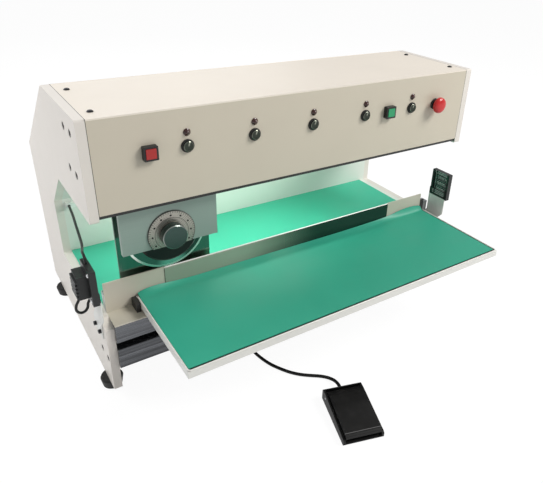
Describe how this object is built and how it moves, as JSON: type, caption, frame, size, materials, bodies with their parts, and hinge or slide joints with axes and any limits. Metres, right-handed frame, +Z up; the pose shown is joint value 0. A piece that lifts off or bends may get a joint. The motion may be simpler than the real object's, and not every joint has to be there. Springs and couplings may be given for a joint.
{
  "type": "pcb depaneling machine",
  "caption": "Bench machine that parts scored circuit boards between a rolling round blade on a motor-driven carriage and a fixed straight blade, worked by a foot switch.",
  "frame": {"origin": "On the bench, midway between the side plates, 190 mm behind the front face of the upper arms.", "axes": "X along the blades to the operator's right, Y to the back of the machine, Z up."},
  "size_m": [0.713, 0.7765, 0.4421],
  "materials": {
    "cream_paint": "fine matt powder coat",
    "machined_steel": "machined",
    "dark_profile": "glossy dark anodised profile",
    "panel_paint": "satin paint",
    "dark_paint": "black paint",
    "pale_paint": "satin paint",
    "green_mat": "smooth anti-static mat",
    "blade_steel": "ground and polished",
    "bright_metal": "bright plated",
    "black_rubber": "matt",
    "board": "circuit board",
    "black_plastic": "fine grain",
    "black_screws": "black oxide",
    "white_plastic": "smooth",
    "lamp_plastic": "dark red lens",
    "red_plastic": "satin gloss",
    "green_plastic": "satin gloss",
    "gloss_black": "glossy",
    "head_plate": "satin anodised",
    "shield_metal": "polished",
    "dial_metal": "satin with black marks",
    "black_knob": "glossy black"
  },
  "bodies": {
    "machine": {"left_side_plate": "cream_paint", "right_side_plate": "cream_paint", "upper_beam": "machined_steel", "lower_beam": "dark_profile", "top_cover": "cream_paint", "front_panel": "panel_paint", "panel_rail": "dark_paint", "throat_liner": "pale_paint", "rear_cover": "cream_paint", "base_plate": "machined_steel", "rear_table": "pale_paint", "rear_mat": "green_mat", "blade_holder": "machined_steel", "straight_blade": "blade_steel", "blade_guards": "panel_paint", "front_tray": "pale_paint", "front_mat": "green_mat", "tray_brackets": "dark_paint", "linear_rails": "bright_metal", "drive_belt": "black_rubber", "drive_motor": "dark_paint", "pulley_brackets": "machined_steel", "control_board": "board", "power_supply": "machined_steel", "power_inlet": "black_plastic", "pedal_socket": "bright_metal", "feet": "black_rubber", "machine_screws": "black_screws", "safety_sensors": "black_plastic", "sensor_brackets": "pale_paint", "sensor_leads": "black_rubber", "lead_clip": "white_plastic", "indicator_lamps": "lamp_plastic", "control_collars": "black_plastic", "pedal_base": "black_plastic", "pedal_pin": "bright_metal", "pedal_spring": "bright_metal", "pedal_cable": "black_rubber", "cable_coil": "black_rubber", "cable_plug": "bright_metal"},
    "carriage": {"carriage_plate": "head_plate", "carriage_bridge": "machined_steel", "rail_blocks": "machined_steel", "blade_shield": "shield_metal", "dial_ring": "dial_metal", "carriage_screws": "black_screws"},
    "dial": {"dial_knob": "black_knob"},
    "blade": {"round_blade": "blade_steel", "blade_flanges": "dark_paint"},
    "drive_wheel": {"drive_pulley": "bright_metal"},
    "idler_wheel": {"idler_pulley": "bright_metal"},
    "red_push": {"red_button": "red_plastic"},
    "green_push": {"green_button": "green_plastic"},
    "position_push_1": {"position_button_1": "gloss_black"},
    "position_push_2": {"position_button_2": "gloss_black"},
    "position_push_3": {"position_button_3": "gloss_black"},
    "position_push_4": {"position_button_4": "gloss_black"},
    "position_push_5": {"position_button_5": "gloss_black"},
    "stop_push": {"stop_button": "red_plastic"},
    "tread": {"pedal_tread": "black_plastic"}
  },
  "joints": [
    {"name": "carriage_slide", "type": "slide", "parent": "machine", "child": "carriage", "axis": [1, 0, 0], "range_m": [0, 0.425]},
    {"name": "dial_turn", "type": "hinge", "parent": "carriage", "child": "dial", "pos_m": [-0.225, -0.17, 0.255], "axis": [0, 1, 0], "range_deg": [0, 150]},
    {"name": "blade_spin", "type": "hinge", "parent": "dial", "child": "blade", "pos_m": [-0.225, -0.1475, 0.251], "axis": [0, 1, 0], "continuous": true},
    {"name": "drive_wheel_turn", "type": "hinge", "parent": "machine", "child": "drive_wheel", "pos_m": [0.29, -0.081, 0.368], "axis": [0, -1, 0], "continuous": true},
    {"name": "idler_wheel_turn", "type": "hinge", "parent": "machine", "child": "idler_wheel", "pos_m": [-0.29, -0.081, 0.368], "axis": [0, -1, 0], "continuous": true},
    {"name": "red_press", "type": "slide", "parent": "machine", "child": "red_push", "axis": [0, 1, 0], "range_m": [0, 0.002], "stiffness_N_per_m": 400, "springref_m": -0.003},
    {"name": "green_press", "type": "slide", "parent": "machine", "child": "green_push", "axis": [0, 1, 0], "range_m": [0, 0.002], "stiffness_N_per_m": 400, "springref_m": -0.003},
    {"name": "position_press_1", "type": "slide", "parent": "machine", "child": "position_push_1", "axis": [0, 1, 0], "range_m": [0, 0.002], "stiffness_N_per_m": 400, "springref_m": -0.003},
    {"name": "position_press_2", "type": "slide", "parent": "machine", "child": "position_push_2", "axis": [0, 1, 0], "range_m": [0, 0.002], "stiffness_N_per_m": 400, "springref_m": -0.003},
    {"name": "position_press_3", "type": "slide", "parent": "machine", "child": "position_push_3", "axis": [0, 1, 0], "range_m": [0, 0.002], "stiffness_N_per_m": 400, "springref_m": -0.003},
    {"name": "position_press_4", "type": "slide", "parent": "machine", "child": "position_push_4", "axis": [0, 1, 0], "range_m": [0, 0.002], "stiffness_N_per_m": 400, "springref_m": -0.003},
    {"name": "position_press_5", "type": "slide", "parent": "machine", "child": "position_push_5", "axis": [0, 1, 0], "range_m": [0, 0.002], "stiffness_N_per_m": 400, "springref_m": -0.003},
    {"name": "stop_press", "type": "slide", "parent": "machine", "child": "stop_push", "axis": [0, 1, 0], "range_m": [0, 0.0035], "stiffness_N_per_m": 1500, "springref_m": -0.003},
    {"name": "pedal_press", "type": "hinge", "parent": "machine", "child": "tread", "pos_m": [-0.0418, -0.36443, 0.011], "axis": [0.9563, -0.2924, 0], "range_deg": [0, 4], "stiffness_Nm_per_rad": 3, "springref_deg": -5.73, "deforming": ["pedal_spring"]}
  ],
  "couplings": [
    {"joint": "drive_wheel_turn", "follows": "carriage_slide", "rad_per_m": 78.125},
    {"joint": "idler_wheel_turn", "follows": "carriage_slide", "rad_per_m": 78.125}
  ]
}
